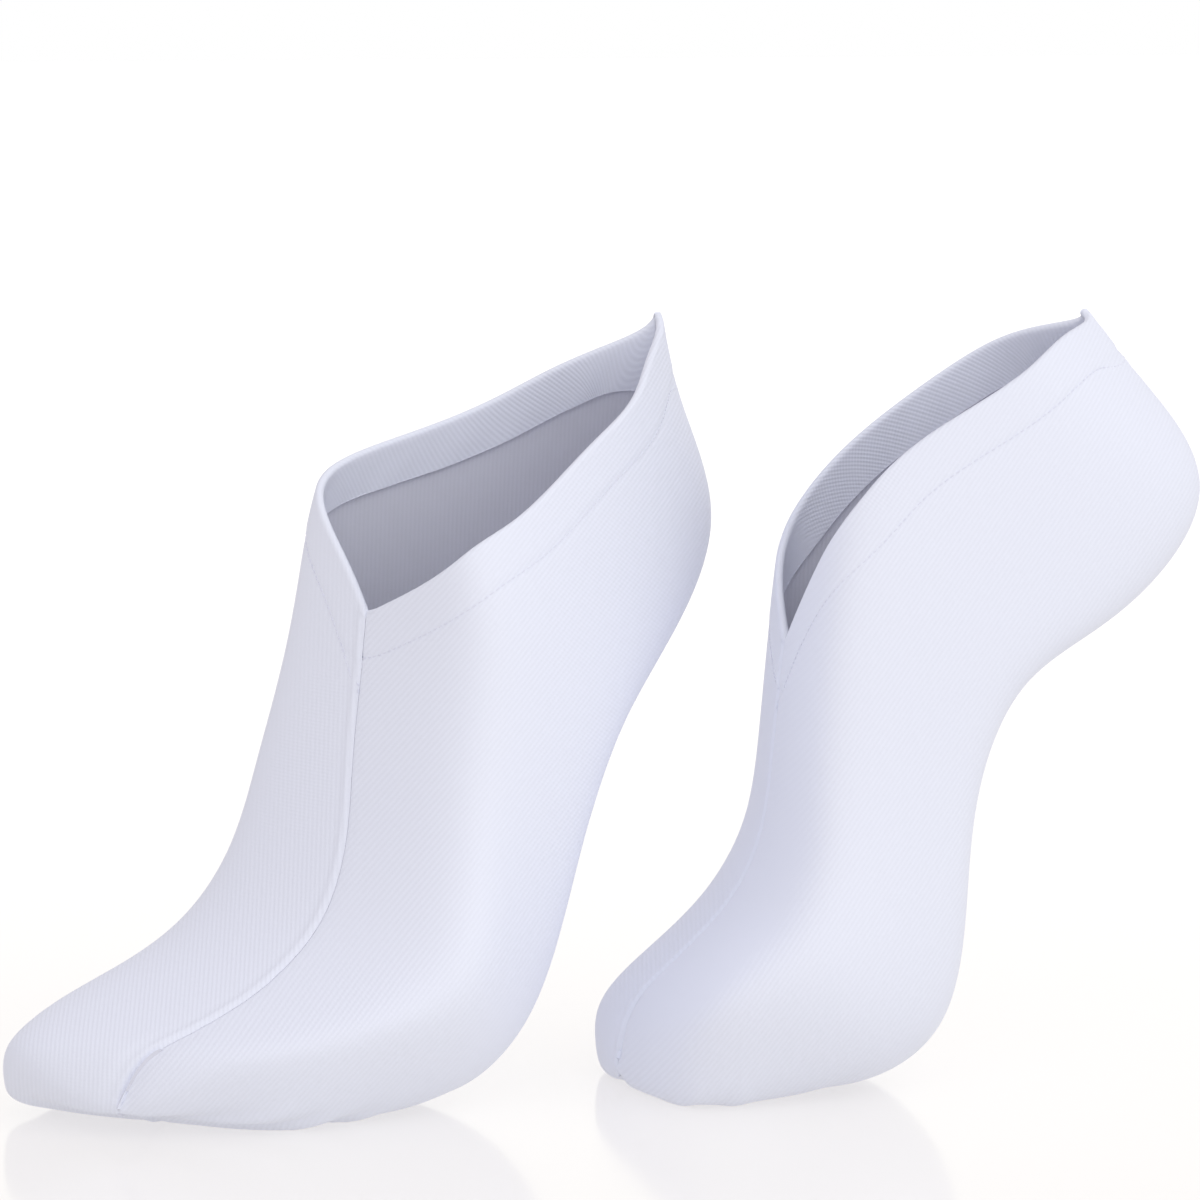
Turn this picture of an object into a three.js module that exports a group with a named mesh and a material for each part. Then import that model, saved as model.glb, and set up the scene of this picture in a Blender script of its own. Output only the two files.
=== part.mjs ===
// A pair of V-neck moisturizing socks, worn on tiptoe and hollow. Millimetres, +Z up.
// +X is the wearer's left and -Y is forward. The origin is the middle of the left sock's ankle opening.
import * as THREE from 'three';

// Cloth
const WALL = 1.2;
const SEAM_GAP = 0.3;
const HEM_DEPTH = 11;
const HEM_BELOW_EDGE = 0.8;
const HEM_GAP = 0.6;
const HEM_WALL = 1.1;

// How finely the form is cut
const PANEL_ROWS_BELOW_V = 26;
const PANEL_ROWS_ABOVE_V = 21;
const PANEL_COLUMNS = 18;
const CLOSER_NEAR_EDGE = 1.35;
const HEM_STEPS = 22;
const HEM_COLUMNS = 3;
const WALK_STEP = 3;

// Under the forefoot the cloth lies flat on the floor, and rounds off it over this height
const FLOOR_ROUND = 1.5;

// Where each sock stands: its toe tip on the floor, and its turn outward in degrees
const FLOOR = -165.8;
const TOE_OUT = 13.5;
const LEFT_TOE = { x: 24.2, y: -126.6 };
const RIGHT_TOE = { x: 18.7, y: 18.4 };

// Sections of a sock run round it from the centre seam on top to the centre seam below.
// Each row is one section, from the toe to the back of the ankle opening, and pulls the form towards it.
// topBack, topUp: its upper end, behind the toe tip and above the floor.
// soleBack, soleUp: its lower end, on the sole, the heel and then up the back.
// outer, inner: half widths towards the outer and the inner side of the foot.
// lean: how far its upper end leans outward. skew: how far it runs back for each mm outward.
const COLUMNS = ['topBack', 'topUp', 'soleBack', 'soleUp', 'outer', 'inner', 'lean', 'skew'];

const LEFT_ROWS = [
  [2, 22, 14, 7, 22.5, 31.5, 4, 0.54],
  [13, 26.5, 24, -1, 33, 45.5, 9.5, 0.5],
  [29.5, 34, 44, -1.5, 40.5, 50.5, 12.5, 0.43],
  [44.5, 41.5, 66.5, -3, 44.5, 51, 11.5, 0.32],
  [59, 52, 92, -1.5, 48, 53, 10.5, 0.2],
  [69.5, 70.5, 113, 13.5, 44.5, 49, 7, 0.15],
  [75, 92.5, 121, 40.5, 42.5, 45, 2, 0.13],
  [81, 118.5, 126.5, 65, 42.5, 41.5, 0, 0.08],
  [83, 139.5, 141.5, 96, 41.5, 39, 0, 0.03],
  [81.5, 160, 168, 111.5, 37, 36.5, 0, 0],
  [84, 181.5, 201.5, 145, 31, 31, 0, 0],
  [88.5, 207.5, 186.5, 179, 27, 26.5, 0, 0],
  [93, 230.5, 182, 203.5, 26.5, 26.5, 0, 0],
];

const RIGHT_ROWS = [
  [1, 16, 2, -0.5, 24, 30, 0, -0.14],
  [6, 25, 12.5, -2, 35, 41.5, -1.5, -0.03],
  [15, 33.5, 30.5, -2.5, 41, 47.5, -3.5, 0.05],
  [24, 42.5, 48, -1.5, 45, 50, -5.5, 0.06],
  [33.5, 53, 70.5, 1, 48, 52.5, -4.5, 0.03],
  [41, 69, 88.5, 15.5, 45, 49, -1.5, 0.05],
  [43, 90, 92.5, 46, 42.5, 44.5, 0.5, 0.07],
  [46, 119, 92.5, 76, 41, 40.5, 0, 0.05],
  [49.5, 140, 104, 110.5, 40, 37.5, 0, 0.03],
  [51, 160.5, 136, 120.5, 36.5, 34.5, 0, 0],
  [52, 183.5, 170, 155.5, 30.5, 30.5, 0, 0],
  [54.5, 210, 143.5, 186, 27, 26.5, 0, 0],
  [56, 235.5, 128, 205, 27, 26.5, 0, 0],
];

// Shape of the sections, from the toe tip on: narrow slims the top half, full squares the corners
const NARROW = [0, 0.01, -0.01, -0.07, -0.1, -0.09, -0.06, -0.03, 0, 0, -0.05, -0.08, -0.12, -0.15];
const FULL = [0.05, 0.08, 0.09, 0.09, 0.07, 0.06, 0.07, 0.08, 0.09, 0.11, 0.08, 0.04, -0.04, -0.08];

// The opening's edge: how far round its section it lies, at even steps from the V to the back
const LEFT = {
  name: 'left', hand: 1, rows: LEFT_ROWS, tip: [0, 3], vRow: 8.46,
  edge: {
    outer: [0, 0.16, 0.27, 0.36, 0.41, 0.47, 0.61, 0.77, 1],
    inner: [0, 0.05, 0.12, 0.21, 0.33, 0.46, 0.61, 0.78, 1],
  },
};
const RIGHT = {
  name: 'right', hand: -1, rows: RIGHT_ROWS, tip: [0, 3], vRow: 7.98,
  edge: {
    outer: [0, 0.14, 0.23, 0.28, 0.32, 0.38, 0.49, 0.7, 1],
    inner: [0, 0.08, 0.16, 0.24, 0.29, 0.37, 0.5, 0.69, 1],
  },
};
const LAST = LEFT_ROWS.length;

// Colours
const JERSEY = { color: 0xe6e8f3, roughness: 0.85, metalness: 0 };
const JERSEY_INSIDE = { color: 0xdcdeea, roughness: 0.9, metalness: 0 };

// A smooth curve through a list of values: a uniform cubic B-spline that starts and ends on them
function pull(values, at) {
  const last = values.length - 1;
  const i = Math.min(Math.max(Math.floor(at), 0), last - 1);
  const t = at - i;
  const value = (k) => {
    if (k < 0) return 2 * values[0] - values[1];
    if (k > last) return 2 * values[last] - values[last - 1];
    return values[k];
  };
  const a = (1 - t) ** 3;
  const b = 3 * t ** 3 - 6 * t ** 2 + 4;
  const c = -3 * t ** 3 + 3 * t ** 2 + 3 * t + 1;
  return (a * value(i - 1) + b * value(i) + c * value(i + 1) + t ** 3 * value(i + 2)) / 6;
}

// The columns of a sock's table as lists; the profile runs from the back, under the sole, round the toe, over the top
function readTable(sock) {
  const column = (name) => sock.rows.map((row) => row[COLUMNS.indexOf(name)]);
  const around = (low, tip, high) => [...column(low).reverse(), tip, ...column(high)];
  return {
    back: around('soleBack', sock.tip[0], 'topBack'),
    up: around('soleUp', sock.tip[1], 'topUp'),
    outer: [0, ...column('outer')],
    inner: [0, ...column('inner')],
    lean: [0, ...column('lean')],
    skew: [column('skew')[0], ...column('skew')],
  };
}

// Height above the floor, flattened where the cloth lies on it
function settle(up) {
  if (up > FLOOR_ROUND) return up;
  if (up < -FLOOR_ROUND) return 0;
  return (up + FLOOR_ROUND) ** 2 / (4 * FLOOR_ROUND);
}

// A point of the sock's outer face: s is the row, f runs from 0 on the top seam to 1 on the seam below
function facePoint(sock, side, s, f) {
  const table = sock.table;
  const angle = Math.PI * f;
  const full = pull(FULL, s);
  const narrow = pull(NARROW, s);
  const along = (1 + full) * Math.cos(angle) - full * Math.cos(3 * angle);
  const across = (1 + full) * Math.sin(angle) + full * Math.sin(3 * angle) - narrow * Math.sin(2 * angle);
  const sign = side === 'outer' ? 1 : -1;
  const out = sign * pull(table[side], s) * across + pull(table.lean, s) * Math.cos(angle);
  const between = (list) => {
    const top = pull(list, LAST + s);
    const sole = pull(list, LAST - s);
    return (top + sole) / 2 + ((top - sole) / 2) * along;
  };
  const back = between(table.back) + pull(table.skew, s) * out;
  const x = sock.hand * (out + (sign * SEAM_GAP) / 2);
  return new THREE.Vector3(x, back, settle(between(table.up)));
}

// The directions in which s and f run, and the outward normal, at a point of the face
function faceFrame(sock, side, s, f) {
  const step = 0.01;
  const s0 = Math.min(Math.max(s, 0.06), LAST - 0.06);
  const f0 = Math.min(Math.max(f, step), 1 - step);
  const alongRows = facePoint(sock, side, s0 + step, f).sub(facePoint(sock, side, s0 - step, f));
  const aroundRow = facePoint(sock, side, s0, f0 + step).sub(facePoint(sock, side, s0, f0 - step));
  alongRows.divideScalar(2 * step);
  aroundRow.divideScalar(2 * step);
  const normal = aroundRow.clone().cross(alongRows).normalize();
  const outward = sock.hand * (side === 'outer' ? 1 : -1);
  return { alongRows, aroundRow, normal: normal.multiplyScalar(outward) };
}

// How far round row s the opening's edge lies: 0 below the V
function edgeAt(sock, side, s) {
  if (s <= sock.vRow) return 0;
  const way = (s - sock.vRow) / (LAST - sock.vRow);
  return Math.min(1, pull(sock.edge[side], way * (sock.edge[side].length - 1)));
}

// A point moved inward from the face by a depth, held on its own side of the seam
function sunk(sock, side, place, depth) {
  const point = facePoint(sock, side, place.s, place.f);
  const { normal } = faceFrame(sock, side, place.s, place.f);
  const away = sock.hand * (side === 'outer' ? 1 : -1);
  if (place.f === 0 || place.f === 1) normal.setX(0).normalize();
  point.addScaledVector(normal, -depth);
  const nearest = SEAM_GAP / 2 - Math.abs(pull(sock.table.lean, place.s));
  point.x = away * Math.max(away * point.x, nearest);
  return point;
}

// One closed solid between two grids of points, with a rim all round
function shellBetween(outside, inside) {
  const rows = outside.length;
  const columns = outside[0].length;
  const points = [...outside.flat(), ...inside.flat()];
  const at = (layer, i, j) => layer * rows * columns + i * columns + j;
  const faces = [];
  const span = (a, b) => points[a].distanceTo(points[b]);
  // each square is split along its shorter diagonal
  const quad = (a, b, c, d) => {
    if (span(a, c) <= span(b, d)) faces.push([a, b, c], [a, c, d]);
    else faces.push([a, b, d], [b, c, d]);
  };
  for (let i = 0; i < rows - 1; i += 1) {
    for (let j = 0; j < columns - 1; j += 1) {
      quad(at(0, i, j), at(0, i + 1, j), at(0, i + 1, j + 1), at(0, i, j + 1));
      quad(at(1, i, j), at(1, i, j + 1), at(1, i + 1, j + 1), at(1, i + 1, j));
    }
    quad(at(0, i, 0), at(1, i, 0), at(1, i + 1, 0), at(0, i + 1, 0));
    quad(at(0, i, columns - 1), at(0, i + 1, columns - 1), at(1, i + 1, columns - 1), at(1, i, columns - 1));
  }
  for (let j = 0; j < columns - 1; j += 1) {
    quad(at(0, 0, j), at(0, 0, j + 1), at(1, 0, j + 1), at(1, 0, j));
    quad(at(0, rows - 1, j), at(1, rows - 1, j), at(1, rows - 1, j + 1), at(0, rows - 1, j + 1));
  }
  return closedGeometry(points, faces);
}

// Joins points that fall together, as at the toe tip, and turns the faces outward
function closedGeometry(points, faces) {
  const found = new Map();
  const kept = [];
  const renumbered = points.map((point) => {
    const key = point.toArray().map((value) => Math.round(value * 500)).join();
    if (!found.has(key)) {
      found.set(key, kept.length);
      kept.push(point);
    }
    return found.get(key);
  });
  const solid = faces
    .map((face) => face.map((index) => renumbered[index]))
    .filter(([a, b, c]) => a !== b && b !== c && c !== a);
  const volume = solid.reduce((sum, [a, b, c]) => sum + kept[a].dot(kept[b].clone().cross(kept[c])), 0);
  const index = volume > 0 ? solid.flat() : solid.flatMap(([a, b, c]) => [a, c, b]);
  const geometry = new THREE.BufferGeometry();
  geometry.setAttribute('position', new THREE.Float32BufferAttribute(kept.flatMap((p) => p.toArray()), 3));
  geometry.setIndex(index);
  geometry.computeVertexNormals();
  return geometry;
}

// Rows of the panel's grid, closer together nowhere than they need be, with one row exactly at the V
function panelRows(sock) {
  const rows = [];
  for (let i = 0; i <= PANEL_ROWS_BELOW_V; i += 1) {
    rows.push((sock.vRow * i) / PANEL_ROWS_BELOW_V);
  }
  for (let i = 1; i <= PANEL_ROWS_ABOVE_V; i += 1) {
    rows.push(sock.vRow + ((LAST - sock.vRow) * i) / PANEL_ROWS_ABOVE_V);
  }
  return rows;
}

// One side of a sock, from the top seam or the opening's edge round to the seam below
function panelGeometry(sock, side) {
  const places = panelRows(sock).map((s) => {
    const start = edgeAt(sock, side, s);
    return Array.from({ length: PANEL_COLUMNS + 1 }, (_, j) => {
      const part = (j / PANEL_COLUMNS) ** CLOSER_NEAR_EDGE;
      return { s, f: start + (1 - start) * part };
    });
  });
  const tip = { s: 0, f: 0.5 };
  const atEnds = (place) => (place.s === 0 ? tip : place);
  const outside = places.map((row) => row.map((place) => facePoint(sock, side, place.s, place.f)));
  const inside = places.map((row) => row.map((place) => sunk(sock, side, atEnds(place), WALL)));
  return shellBetween(outside, inside);
}

// Walks over the face from a place, in a direction, and returns the place reached
function walk(sock, side, from, direction, distance) {
  const steps = Math.max(1, Math.ceil(distance / WALK_STEP));
  let { s, f } = from;
  for (let i = 0; i < steps; i += 1) {
    const { alongRows, aroundRow, normal } = faceFrame(sock, side, s, f);
    const ahead = direction.clone().projectOnPlane(normal).setLength(distance / steps);
    const aa = alongRows.dot(alongRows);
    const ab = alongRows.dot(aroundRow);
    const bb = aroundRow.dot(aroundRow);
    const pa = alongRows.dot(ahead);
    const pb = aroundRow.dot(ahead);
    const size = aa * bb - ab * ab;
    s = Math.min(LAST, s + (pa * bb - pb * ab) / size);
    f = Math.min(1, Math.max(0, f + (pb * aa - pa * ab) / size));
  }
  return { s, f };
}

// The opening's edge as a run of places, with the way along it and the way down from it
function edgeRun(sock, side) {
  const run = [];
  let length = 0;
  for (let i = 0; i <= HEM_STEPS; i += 1) {
    const s = sock.vRow + ((LAST - sock.vRow) * i) / HEM_STEPS;
    const place = { s, f: edgeAt(sock, side, s) };
    const point = facePoint(sock, side, place.s, place.f);
    const near = Math.min(Math.max(s, sock.vRow + 0.03), LAST - 0.03);
    const along = facePoint(sock, side, near + 0.02, edgeAt(sock, side, near + 0.02));
    along.sub(facePoint(sock, side, near - 0.02, edgeAt(sock, side, near - 0.02))).normalize();
    const { alongRows, aroundRow, normal } = faceFrame(sock, side, place.s, place.f);
    const down = normal.clone().cross(along).normalize();
    if (down.dot(aroundRow) < 0) down.negate();
    length += i > 0 ? point.distanceTo(run[i - 1].point) : 0;
    run.push({ place, point, along, down, seam: alongRows.clone().negate().normalize(), length });
  }
  return run;
}

// Places of the hem, from just below the edge to its full depth, mitred at the two seams
function hemPlaces(sock, side, first, depth, columns) {
  const run = edgeRun(sock, side);
  const total = run[run.length - 1].length;
  const mitre = ({ seam, along, down }) => seam.dot(along) / Math.max(seam.dot(down), 0.3);
  const startShift = mitre(run[0]);
  const endShift = mitre(run[run.length - 1]);
  return run.map(({ place, along, down, length }) => {
    const nearStart = Math.max(0, 1 - length / (2.5 * depth));
    const nearEnd = Math.max(0, 1 - (total - length) / (2.5 * depth));
    const shift = startShift * nearStart + endShift * nearEnd;
    const direction = down.clone().addScaledVector(along, shift);
    const stretch = direction.length();
    return Array.from({ length: columns + 1 }, (_, j) => {
      const distance = (first + ((depth - first) * j) / columns) * stretch;
      return walk(sock, side, place, direction, distance);
    });
  });
}

// The strip of cloth turned under along one half of the opening
function hemGeometry(sock, side) {
  const places = hemPlaces(sock, side, HEM_BELOW_EDGE, HEM_DEPTH, HEM_COLUMNS);
  const layer = (depth) => places.map((row) => row.map((place) => sunk(sock, side, place, depth)));
  return shellBetween(layer(WALL + HEM_GAP), layer(WALL + HEM_GAP + HEM_WALL));
}

// A whole sock: two panels and their hems, standing on the floor at its toe tip
function makeSock(sock, toe, turn) {
  sock.table = readTable(sock);
  const group = new THREE.Group();
  for (const side of ['outer', 'inner']) {
    const panel = new THREE.Mesh(panelGeometry(sock, side), new THREE.MeshStandardMaterial(JERSEY));
    panel.name = `${sock.name}_${side}_panel`;
    const hem = new THREE.Mesh(hemGeometry(sock, side), new THREE.MeshStandardMaterial(JERSEY_INSIDE));
    hem.name = `${sock.name}_${side}_hem`;
    group.add(panel, hem);
  }
  group.position.set(toe.x, toe.y, FLOOR);
  group.rotation.z = THREE.MathUtils.degToRad(turn);
  return group;
}

const pair = new THREE.Group();
pair.add(makeSock(LEFT, LEFT_TOE, TOE_OUT));
pair.add(makeSock(RIGHT, RIGHT_TOE, -TOE_OUT));

export default pair;
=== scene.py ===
"""A pair of V-neck moisturizing socks in fine jersey, kept in the form in which they are worn."""

import math

import bpy
import numpy as np
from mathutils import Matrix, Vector


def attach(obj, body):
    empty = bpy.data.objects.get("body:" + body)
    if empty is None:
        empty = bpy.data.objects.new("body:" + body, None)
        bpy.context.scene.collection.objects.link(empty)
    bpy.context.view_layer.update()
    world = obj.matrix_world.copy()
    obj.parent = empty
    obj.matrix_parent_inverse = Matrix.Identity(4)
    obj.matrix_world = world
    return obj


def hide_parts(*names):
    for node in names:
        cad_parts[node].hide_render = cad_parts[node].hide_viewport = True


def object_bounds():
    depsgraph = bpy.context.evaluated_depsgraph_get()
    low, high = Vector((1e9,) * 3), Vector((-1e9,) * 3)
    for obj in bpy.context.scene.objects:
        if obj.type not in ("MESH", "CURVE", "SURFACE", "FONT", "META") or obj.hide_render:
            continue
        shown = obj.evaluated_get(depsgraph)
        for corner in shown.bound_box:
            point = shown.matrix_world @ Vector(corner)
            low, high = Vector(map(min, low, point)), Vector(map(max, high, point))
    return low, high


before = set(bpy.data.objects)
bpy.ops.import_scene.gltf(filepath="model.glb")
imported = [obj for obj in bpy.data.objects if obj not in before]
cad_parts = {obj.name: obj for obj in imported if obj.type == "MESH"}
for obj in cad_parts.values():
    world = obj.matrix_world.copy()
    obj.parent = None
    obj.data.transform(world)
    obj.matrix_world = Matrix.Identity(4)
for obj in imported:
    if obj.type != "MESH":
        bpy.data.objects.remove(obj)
CAD_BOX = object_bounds()

bl_info = {
    "name": "Moisturizing socks",
    "version": (1, 0, 0),
    "blender": (4, 5, 0),
    "location": "View3D > Sidebar > Socks",
    "description": "Builds the knit panels, hems, seams and stitching of a pair of V-neck socks",
    "category": "Object",
}

MM = 0.001

# The socks' form, in millimetres. Each row is one section of a sock, from the toe to the opening's back.
# top_back, top_up: its upper end, behind the toe tip and above the floor.
# sole_back, sole_up: its lower end, on the sole, the heel and then up the back.
# outer, inner: half widths. lean: how far its upper end leans outward. skew: run back for each mm outward.
COLUMNS = ("top_back", "top_up", "sole_back", "sole_up", "outer", "inner", "lean", "skew")

LEFT_ROWS = (
    (2, 22, 14, 7, 22.5, 31.5, 4, 0.54),
    (13, 26.5, 24, -1, 33, 45.5, 9.5, 0.5),
    (29.5, 34, 44, -1.5, 40.5, 50.5, 12.5, 0.43),
    (44.5, 41.5, 66.5, -3, 44.5, 51, 11.5, 0.32),
    (59, 52, 92, -1.5, 48, 53, 10.5, 0.2),
    (69.5, 70.5, 113, 13.5, 44.5, 49, 7, 0.15),
    (75, 92.5, 121, 40.5, 42.5, 45, 2, 0.13),
    (81, 118.5, 126.5, 65, 42.5, 41.5, 0, 0.08),
    (83, 139.5, 141.5, 96, 41.5, 39, 0, 0.03),
    (81.5, 160, 168, 111.5, 37, 36.5, 0, 0),
    (84, 181.5, 201.5, 145, 31, 31, 0, 0),
    (88.5, 207.5, 186.5, 179, 27, 26.5, 0, 0),
    (93, 230.5, 182, 203.5, 26.5, 26.5, 0, 0),
)

RIGHT_ROWS = (
    (1, 16, 2, -0.5, 24, 30, 0, -0.14),
    (6, 25, 12.5, -2, 35, 41.5, -1.5, -0.03),
    (15, 33.5, 30.5, -2.5, 41, 47.5, -3.5, 0.05),
    (24, 42.5, 48, -1.5, 45, 50, -5.5, 0.06),
    (33.5, 53, 70.5, 1, 48, 52.5, -4.5, 0.03),
    (41, 69, 88.5, 15.5, 45, 49, -1.5, 0.05),
    (43, 90, 92.5, 46, 42.5, 44.5, 0.5, 0.07),
    (46, 119, 92.5, 76, 41, 40.5, 0, 0.05),
    (49.5, 140, 104, 110.5, 40, 37.5, 0, 0.03),
    (51, 160.5, 136, 120.5, 36.5, 34.5, 0, 0),
    (52, 183.5, 170, 155.5, 30.5, 30.5, 0, 0),
    (54.5, 210, 143.5, 186, 27, 26.5, 0, 0),
    (56, 235.5, 128, 205, 27, 26.5, 0, 0),
)

# Shape of the sections from the toe tip on: narrow slims the top half, full squares the corners
NARROW = (0, 0.01, -0.01, -0.07, -0.1, -0.09, -0.06, -0.03, 0, 0, -0.05, -0.08, -0.12, -0.15)
FULL = (0.05, 0.08, 0.09, 0.09, 0.07, 0.06, 0.07, 0.08, 0.09, 0.11, 0.08, 0.04, -0.04, -0.08)

LAST = len(LEFT_ROWS)

# The floor that the soles stand on, and how softly they flatten on it
FLOOR = CAD_BOX[0][2] / MM
FLOOR_ROUND = 1.5
# A height inside both socks, from which every piece of cloth faces away
INSIDE_HEIGHT = 60.0

# Seams, in millimetres: the gap between two panels, and how deep the threads across it and the cleft lie
SEAM_GAP = 0.06
SEAM_STITCH_DEPTH = 0.46
TOE_CLEFT = 1.1
TOE_CLEFT_WIDTH = 3.6
DEEPEST = 0.48
ALLOWANCE_BELOW_CLOTH = 0.75

# Forms beside a seam: height, distance from the seam and half width, in millimetres
SEAM_GROOVE = (-0.42, 0, 0.6)
SEAM_PUCKERS = (0.045, 1.6, 1.5)
SEAM_RIDGE = (0.34, 1.8, 0.95)
BESIDE_RIDGE = (-0.08, 4.2, 1.4)
BESIDE_SEAM = (-0.1, 1.6, 1.3)

# The hem, in millimetres: its double cloth, its stitched groove and the puckers that the stitches pull
HEM_BAND = 0.2
HEM_GROOVE = 0.24
HEM_GROOVE_WIDTH = 0.95
HEM_PUCKERS = 0.04
HEM_PULL = 0.035
HEM_PULL_WIDTH = 3.2
STITCHES_ABOVE_HEM_END = 1.2

# Puckers as waves: height, length and start of each
SEAM_WAVES = ((1, 0.83, 0), (0.7, 1.31, 1.7), (0.6, 2.9, 0))
HEM_WAVES = ((1, 0.74, 0), (0.8, 1.17, 0.6), (0.7, 2.3, 2))

# Fineness: places on an edge line, steps of the fold, steps down the hem, and a seam allowance's grid
EDGE_STEPS = 1500
FOLD_STEPS = 7
HEM_STEPS = 11
ALLOWANCE_ROWS = 260
ALLOWANCE_COLUMNS = 9
# Points closer than this are one point, in metres, and edges sharper than this stay sharp
SAME_PLACE = 0.00002
SHARP = math.radians(50)

# The knit's relief: shares of wales and courses; and painted shade: how much darker the furrows between
# the wales are painted
WALE_SHARE = 0.5
COURSE_SHARE = 0.12
FURROW_PAINTED_SHADE = 0.965

# How much closer a panel's columns stand at its seams than in its middle
CLOSER_AT_SEAMS = 0.72

# Where along the hem's ends the way down turns to the seam, in millimetres
MITRE_REACH = 28.0

# hand turns outward to the sock's own side. tip: the toe tip's place. v_row: the row of the V.
# toe, turn: where the toe tip stands in the shared frame, and how far the sock turns, in degrees.
# Edges: how far round its section the opening's edge lies, at even steps from the V to the back.
# knit_way turns the knit on the level, and wale_climb is the angle at which its wales climb, in degrees.
SOCKS = {
    "left": {
        "hand": 1, "rows": LEFT_ROWS, "tip": (0, 3), "v_row": 8.46, "toe": (24.2, -126.6), "turn": 13.5,
        "outer_edge": (0, 0.16, 0.27, 0.36, 0.41, 0.47, 0.61, 0.77, 1),
        "inner_edge": (0, 0.05, 0.12, 0.21, 0.33, 0.46, 0.61, 0.78, 1),
        "ridge_side": "inner", "knit_way": 52, "wale_climb": {"outer": 50, "inner": 88},
    },
    "right": {
        "hand": -1, "rows": RIGHT_ROWS, "tip": (0, 3), "v_row": 7.98, "toe": (18.7, 18.4), "turn": -13.5,
        "outer_edge": (0, 0.14, 0.23, 0.28, 0.32, 0.38, 0.49, 0.7, 1),
        "inner_edge": (0, 0.08, 0.16, 0.24, 0.29, 0.37, 0.5, 0.69, 1),
        "ridge_side": "outer", "knit_way": 77, "wale_climb": {"outer": 88, "inner": 55},
    },
}
SIDES = ("outer", "inner")

# Soft creases of each panel: from a row and place to another, then half width and height in millimetres
CREASES = {
    ("left", "outer"): (
        (1.2, 0.9, 1.9, 0.62, 4.5, 1.0),
        (2.2, 0.9, 2.8, 0.66, 5.0, 1.0),
        (3.1, 0.88, 3.6, 0.7, 5.0, 0.8),
        (1.7, 0.88, 2.4, 0.66, 3.5, -0.8),
        (2.7, 0.88, 3.2, 0.7, 3.5, -0.7),
        (4.2, 0.9, 4.8, 0.72, 6.0, -0.6),
    ),
    ("left", "inner"): (
        (1.4, 0.85, 2.0, 0.6, 5.0, 0.7),
        (2.6, 0.85, 3.0, 0.62, 5.5, 0.6),
        (2.0, 0.85, 2.6, 0.6, 4.0, -0.5),
    ),
    ("right", "outer"): (
        (1.2, 0.88, 1.9, 0.62, 4.5, 0.8),
        (2.2, 0.88, 2.8, 0.66, 5.0, 0.7),
        (1.7, 0.88, 2.4, 0.66, 3.5, -0.5),
    ),
    ("right", "inner"): (
        (1.4, 0.85, 2.0, 0.6, 5.0, 0.7),
        (2.6, 0.85, 3.0, 0.62, 5.5, 0.6),
        (4.0, 0.88, 4.6, 0.7, 6.0, -0.5),
    ),
}
# Rough reach of one row, and of once round from seam to seam, in millimetres
ROW_REACH = 22
AROUND_REACH = 130


# The form

def pull(values, at):
    """A smooth curve along a list of values: a uniform cubic B-spline that starts and ends on them."""
    values = np.asarray(values, float)
    at = np.asarray(at, float)
    longer = np.concatenate([[2 * values[0] - values[1]], values, [2 * values[-1] - values[-2]]])
    i = np.clip(np.floor(at).astype(int), 0, len(values) - 2)
    t = at - i
    first = (1 - t) ** 3 * longer[i]
    second = (3 * t ** 3 - 6 * t ** 2 + 4) * longer[i + 1]
    third = (-3 * t ** 3 + 3 * t ** 2 + 3 * t + 1) * longer[i + 2]
    return (first + second + third + t ** 3 * longer[i + 3]) / 6


def read_table(sock):
    """The columns of a sock's rows, with the profile as one list: the sole, the toe tip, then the top."""
    column = {name: [row[k] for row in sock["rows"]] for k, name in enumerate(COLUMNS)}
    tip_back, tip_up = sock["tip"]
    return {
        "back": column["sole_back"][::-1] + [tip_back] + column["top_back"],
        "up": column["sole_up"][::-1] + [tip_up] + column["top_up"],
        "outer": [0] + column["outer"],
        "inner": [0] + column["inner"],
        "lean": [0] + column["lean"],
        "skew": column["skew"][:1] + column["skew"],
    }


for each in SOCKS.values():
    each["table"] = read_table(each)


def settle(up):
    """Height above the floor, flattened where the cloth lies on it."""
    rounded = (up + FLOOR_ROUND) ** 2 / (4 * FLOOR_ROUND)
    return np.where(up > FLOOR_ROUND, up, np.where(up < -FLOOR_ROUND, 0, rounded))


def own_side(sock, side):
    """Sign of a side's x in its sock's own frame."""
    return sock["hand"] * (1 if side == "outer" else -1)


def face_point(sock, side, s, f):
    """Points of a side's outer face: s is the row, f runs from 0 on the top seam to 1 on the lower one."""
    s, f = np.broadcast_arrays(np.asarray(s, float), np.asarray(f, float))
    table = sock["table"]
    angle = np.pi * f
    full, narrow = pull(FULL, s), pull(NARROW, s)
    along = (1 + full) * np.cos(angle) - full * np.cos(3 * angle)
    across = (1 + full) * np.sin(angle) + full * np.sin(3 * angle) - narrow * np.sin(2 * angle)
    sign = 1 if side == "outer" else -1
    out = sign * pull(table[side], s) * across + pull(table["lean"], s) * np.cos(angle)

    def between(values):
        top, sole = pull(values, LAST + s), pull(values, LAST - s)
        return (top + sole) / 2 + (top - sole) / 2 * along

    back = between(table["back"]) + pull(table["skew"], s) * out
    x = sock["hand"] * (out + sign * SEAM_GAP / 2)
    return np.stack([x, back, settle(between(table["up"]))], -1)


def face_frame(sock, side, s, f):
    """The directions in which s and f run, and the outward normal."""
    step = 0.01
    s0 = np.clip(s, 0.06, LAST - 0.06)
    f0 = np.clip(f, step, 1 - step)
    along_rows = face_point(sock, side, s0 + step, f) - face_point(sock, side, s0 - step, f)
    around_row = face_point(sock, side, s0, f0 + step) - face_point(sock, side, s0, f0 - step)
    along_rows, around_row = along_rows / (2 * step), around_row / (2 * step)
    normal = np.cross(around_row, along_rows) * own_side(sock, side)
    return along_rows, around_row, unit(normal)


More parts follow.
